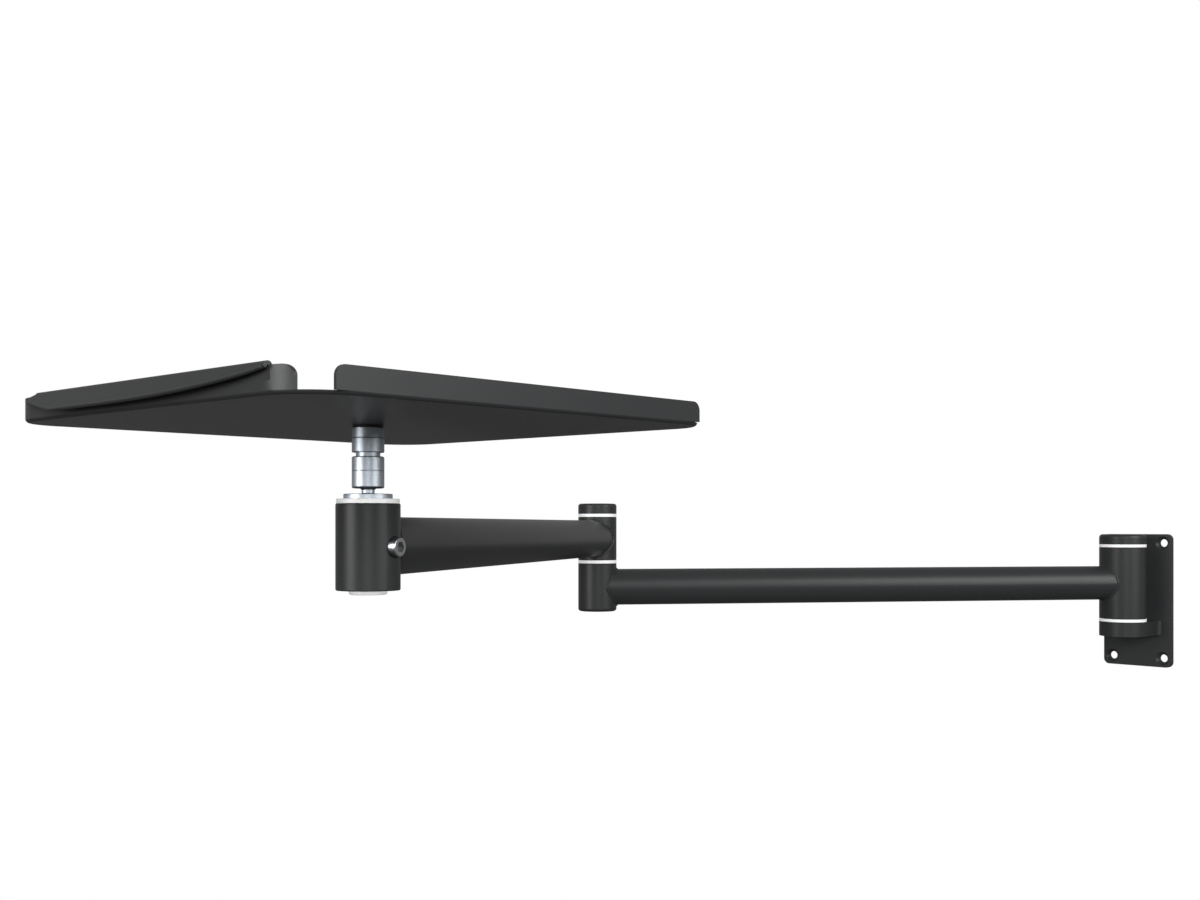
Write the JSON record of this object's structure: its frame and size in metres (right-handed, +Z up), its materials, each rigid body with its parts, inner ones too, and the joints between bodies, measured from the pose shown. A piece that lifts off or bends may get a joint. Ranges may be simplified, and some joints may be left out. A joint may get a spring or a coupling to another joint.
{
  "type": "projector wall mount",
  "caption": "Two-arm articulated wall mount that carries a projector on a flanged sheet tray over a ball head; swings, turns and tilts.",
  "frame": {"origin": "centre of the wall plate's rear face", "axes": "+Y points into the wall, +Z up, so the mount reaches out along -Y; +X to the right seen from the room"},
  "size_m": [0.407, 0.9745, 0.1901],
  "materials": {
    "black_coat": "semi-gloss black powder coat",
    "turned_steel": "satin turned and nickel-plated steel",
    "screw_steel": "plain steel screw",
    "spring_steel": "dark spring steel",
    "white_nylon": "white nylon",
    "black_rubber": "matt black rubber"
  },
  "bodies": {
    "wall_bracket": {"wall_plate": "black_coat", "wall_pin": "turned_steel", "wall_cap": "black_coat", "wall_cap_screw": "screw_steel"},
    "rear_arm": {"rear_arm": "black_coat", "wall_lower_bush": "white_nylon", "wall_upper_bush": "white_nylon", "elbow_pin": "turned_steel", "elbow_cap": "black_coat", "elbow_cap_screw": "screw_steel"},
    "front_arm": {"front_arm": "black_coat", "elbow_lower_bush": "white_nylon", "elbow_upper_bush": "white_nylon", "boss_upper_bush": "white_nylon", "boss_lower_bush": "white_nylon", "boss_end_cap": "white_nylon", "clamp_screw": "screw_steel"},
    "spindle": {"spindle": "turned_steel", "spindle_clip": "spring_steel"},
    "ball_seat": {"ball_seat": "white_nylon"},
    "head": {"cup_nut": "turned_steel", "socket_body": "turned_steel", "coupler": "turned_steel", "collar": "turned_steel", "tray_washer": "black_rubber", "tray": "black_coat", "tray_screw": "screw_steel"}
  },
  "joints": [
    {"name": "wall_pivot", "type": "hinge", "parent": "wall_bracket", "child": "rear_arm", "pos_m": [0, -0.033, 0.01645], "axis": [0, 0, 1], "range_deg": [-57, 123]},
    {"name": "elbow_pivot", "type": "hinge", "parent": "rear_arm", "child": "front_arm", "pos_m": [-0.26143, -0.43556, 0.05695], "axis": [0, 0, 1], "range_deg": [-231, 99]},
    {"name": "tray_turn", "type": "hinge", "parent": "front_arm", "child": "spindle", "pos_m": [0, -0.83812, 0.05695], "axis": [0, 0, 1], "continuous": true},
    {"name": "tilt_front_back", "type": "hinge", "parent": "spindle", "child": "ball_seat", "pos_m": [0, -0.83812, 0.08965], "axis": [-0.0715, 0.9974, 0], "range_deg": [-10, 10]},
    {"name": "tilt_side", "type": "hinge", "parent": "ball_seat", "child": "head", "pos_m": [0, -0.83812, 0.08965], "axis": [0.9974, 0.0715, 0], "range_deg": [-10, 10]}
  ]
}
